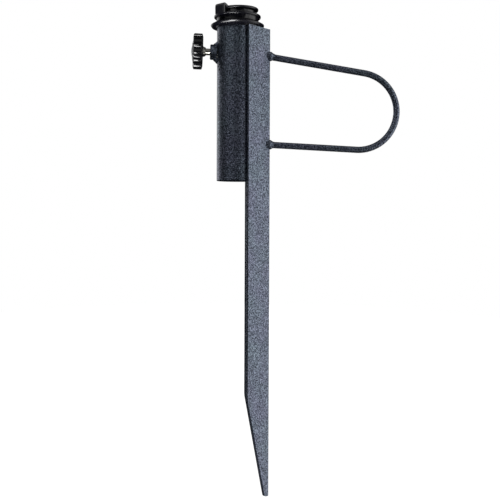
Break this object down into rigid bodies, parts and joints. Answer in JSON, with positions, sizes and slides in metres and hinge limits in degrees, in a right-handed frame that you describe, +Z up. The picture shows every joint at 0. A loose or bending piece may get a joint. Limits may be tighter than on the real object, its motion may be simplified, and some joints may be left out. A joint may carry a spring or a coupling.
{
  "type": "rod holder",
  "caption": "Ground-spike rod and pole holder: tapered angle-bar spike, side socket tube with knob clamp screw, bent-bar step handle, nested plastic reducers with tethered cap.",
  "frame": {"origin": "on the socket tube's axis, level with the tube's lower end, which is the ground line when the spike is driven in", "axes": "+Z up along the tube and the spike, +X towards the step handle, -X towards the clamp knob"},
  "size_m": [0.1968, 0.0498, 0.4576],
  "materials": {
    "hammertone_paint": "blue-grey hammertone paint, satin, finely mottled",
    "zinc_plate": "bright zinc plating, slightly yellow",
    "knob_plastic": "polished black moulded plastic",
    "cover_plastic": "pale grey snap-in cover",
    "reducer_plastic": "black polyethylene, semi-gloss",
    "pad_nylon": "natural nylon"
  },
  "bodies": {
    "stake": {"spike_angle": "hammertone_paint", "socket_tube": "hammertone_paint", "step_handle": "hammertone_paint", "handle_weld_upper": "hammertone_paint", "handle_weld_lower": "hammertone_paint", "seam_weld_front": "hammertone_paint", "seam_weld_rear": "hammertone_paint", "clamp_nut": "hammertone_paint", "nut_weld": "hammertone_paint"},
    "pad": {"thrust_pad": "pad_nylon"},
    "screw": {"clamp_screw": "zinc_plate", "knob_collar": "zinc_plate", "clamp_knob": "knob_plastic", "knob_cover": "cover_plastic"},
    "outer_sleeve": {"outer_reducer": "reducer_plastic"},
    "inner_sleeve": {"inner_reducer": "reducer_plastic", "strap_lower": "reducer_plastic"},
    "lid": {"cap": "reducer_plastic", "strap_upper": "reducer_plastic"}
  },
  "joints": [
    {"name": "pad_advance", "type": "slide", "parent": "stake", "child": "pad", "axis": [0.9994, 0, -0.0349], "range_m": [-0.00376, 0.00376]},
    {"name": "screw_turn", "type": "hinge", "parent": "pad", "child": "screw", "pos_m": [-0.019, 0, 0.1199], "axis": [0.9994, 0, -0.0349], "range_deg": [-1080, 1080]},
    {"name": "outer_reducer_lift", "type": "slide", "parent": "stake", "child": "outer_sleeve", "axis": [0, 0, 1], "range_m": [0, 0.062]},
    {"name": "inner_reducer_lift", "type": "slide", "parent": "outer_sleeve", "child": "inner_sleeve", "axis": [0, 0, 1], "range_m": [0, 0.062]},
    {"name": "cap_hinge", "type": "hinge", "parent": "inner_sleeve", "child": "lid", "pos_m": [-0.0164, -0.0164, 0.1606], "axis": [0.7071, -0.7071, 0], "range_deg": [0, 165]}
  ],
  "couplings": [
    {"joint": "pad_advance", "follows": "screw_turn", "m_per_rad": 0.00019894}
  ]
}
